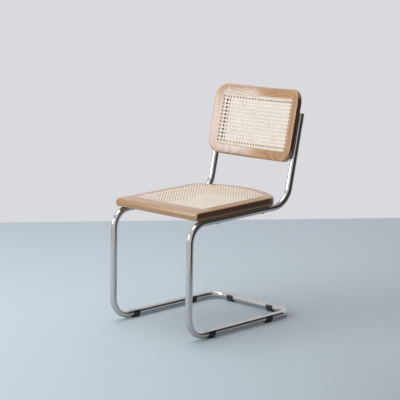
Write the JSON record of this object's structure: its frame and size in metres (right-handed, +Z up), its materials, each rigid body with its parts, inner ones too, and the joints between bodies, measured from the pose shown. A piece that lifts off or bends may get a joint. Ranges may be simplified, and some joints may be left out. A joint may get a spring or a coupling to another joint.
{
  "type": "cantilever chair",
  "caption": "Cantilever dining chair: one bent chrome tube carries a wooden seat frame and a curved wooden back frame, both webbed with woven cane.",
  "frame": {"origin": "centre of the overall bounding box, on the floor", "axes": "+Z up, -Y the way the sitter faces, +X to the right in a view of the chair's front"},
  "size_m": [0.4432, 0.6306, 0.8473],
  "materials": {
    "chrome_tube": "polished chrome plate on steel tube",
    "chrome_cap": "polished chrome cap",
    "black_plastic": "black moulded plastic",
    "wood_frame": "honey-brown satin lacquer",
    "cane": "natural woven cane",
    "cane_spline": "natural reed",
    "dowel_wood": "bare hardwood",
    "plated_steel": "bright plated steel"
  },
  "bodies": {
    "root": {"frame_tube": "chrome_tube", "left_end_plug": "chrome_cap", "right_end_plug": "chrome_cap", "front_left_glide": "black_plastic", "front_right_glide": "black_plastic", "rear_left_glide": "black_plastic", "rear_right_glide": "black_plastic", "bar_left_glide": "black_plastic", "bar_right_glide": "black_plastic", "seat_front_rail": "wood_frame", "seat_left_rail": "wood_frame", "seat_right_rail": "wood_frame", "seat_rear_bow": "wood_frame", "seat_cane": "cane", "seat_spline": "cane_spline", "seat_dowels": "dowel_wood", "seat_bolts": "plated_steel", "seat_inserts": "plated_steel", "back_left_stile": "wood_frame", "back_right_stile": "wood_frame", "back_top_rail": "wood_frame", "back_bottom_rail": "wood_frame", "back_cane": "cane", "back_spline": "cane_spline", "back_dowels": "dowel_wood", "back_bolts": "plated_steel", "back_inserts": "plated_steel"}
  },
  "joints": []
}
